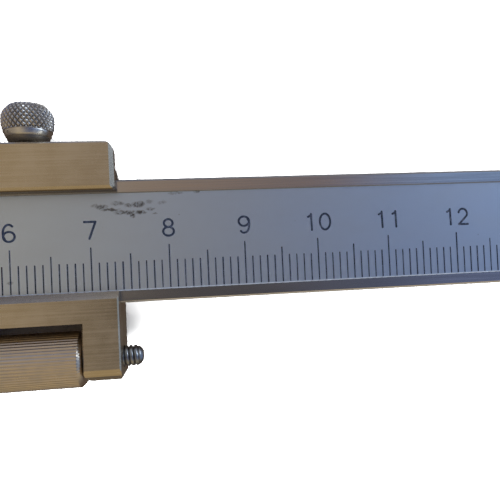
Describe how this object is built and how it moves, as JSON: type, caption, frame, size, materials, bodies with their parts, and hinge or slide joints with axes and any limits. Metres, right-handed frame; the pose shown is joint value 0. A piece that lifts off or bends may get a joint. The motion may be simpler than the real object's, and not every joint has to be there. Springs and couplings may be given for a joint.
{
  "type": "vernier caliper with fine adjustment",
  "caption": "Vernier caliper with outside and inside jaws, a depth rod, a windowed slider, and a clamped carriage whose long round nut moves the slider finely.",
  "frame": {"origin": "under the zero line of the main scale, on the beam's centreline, in the plane that the caliper rests on when it lies on its back", "axes": "+X along the beam towards its free end and higher readings, +Y across the beam towards the inside jaws and lock screws, +Z out of the graduated face"},
  "size_m": [0.244, 0.072, 0.0073],
  "materials": {
    "satin_chrome_steel": "satin chrome scale face, ground and polished rails",
    "ground_steel": "ground steel with a fine directional grain",
    "knurled_steel": "knurled and chrome-plated",
    "spring_steel": "thin blued spring steel",
    "screw_steel": "turned steel",
    "pad_brass": "plain turned brass",
    "scale_ink": "dark filling of the engraved lines and numerals"
  },
  "bodies": {
    "beam": {"main_beam": "satin_chrome_steel", "end_stop": "ground_steel", "end_stop_screws": "screw_steel"},
    "carriage": {"carriage_body": "ground_steel", "carriage_gib_spring": "spring_steel"},
    "nut": {"fine_adjust_nut": "knurled_steel"},
    "slider": {"slider_frame": "ground_steel", "slider_back_cover": "ground_steel", "back_cover_screws": "screw_steel", "vernier_plate": "satin_chrome_steel", "vernier_screws": "screw_steel", "slider_gib_strip": "spring_steel", "gib_set_screws": "screw_steel", "depth_rod": "ground_steel", "depth_rod_screw": "screw_steel", "fine_adjust_rod": "screw_steel", "rod_pin": "screw_steel"},
    "carriage_pad": {"carriage_lock_pad": "pad_brass"},
    "carriage_screw": {"carriage_lock_screw": "knurled_steel"},
    "slider_pad": {"slider_lock_pad": "pad_brass"},
    "slider_screw": {"slider_lock_screw": "knurled_steel"}
  },
  "joints": [
    {"name": "carriage_slide", "type": "slide", "parent": "beam", "child": "carriage", "axis": [1, 0, 0], "range_m": [-0.014, 0.114]},
    {"name": "slider_fine_travel", "type": "slide", "parent": "carriage", "child": "slider", "axis": [1, 0, 0], "range_m": [-0.002, 0.002]},
    {"name": "nut_turn", "type": "hinge", "parent": "carriage", "child": "nut", "pos_m": [0.062, -0.0151, 0.0037], "axis": [1, 0, 0], "range_deg": [-1200.1, 1200.1]},
    {"name": "carriage_clamp_travel", "type": "slide", "parent": "carriage", "child": "carriage_pad", "axis": [0, 1, 0], "range_m": [-0.00025, 0.0005]},
    {"name": "carriage_clamp_turn", "type": "hinge", "parent": "carriage_pad", "child": "carriage_screw", "pos_m": [0.0624, 0.0127, 0.0037], "axis": [0, 1, 0], "range_deg": [-180.1, 360.1]},
    {"name": "slider_clamp_travel", "type": "slide", "parent": "slider", "child": "slider_pad", "axis": [0, 1, 0], "range_m": [-0.00025, 0.0005]},
    {"name": "slider_clamp_turn", "type": "hinge", "parent": "slider_pad", "child": "slider_screw", "pos_m": [0.025, 0.0127, 0.0037], "axis": [0, 1, 0], "range_deg": [-180.1, 360.1]}
  ],
  "couplings": [
    {"joint": "nut_turn", "follows": "slider_fine_travel", "rad_per_m": -10472},
    {"joint": "carriage_clamp_turn", "follows": "carriage_clamp_travel", "rad_per_m": 12566},
    {"joint": "slider_clamp_turn", "follows": "slider_clamp_travel", "rad_per_m": 12566}
  ]
}
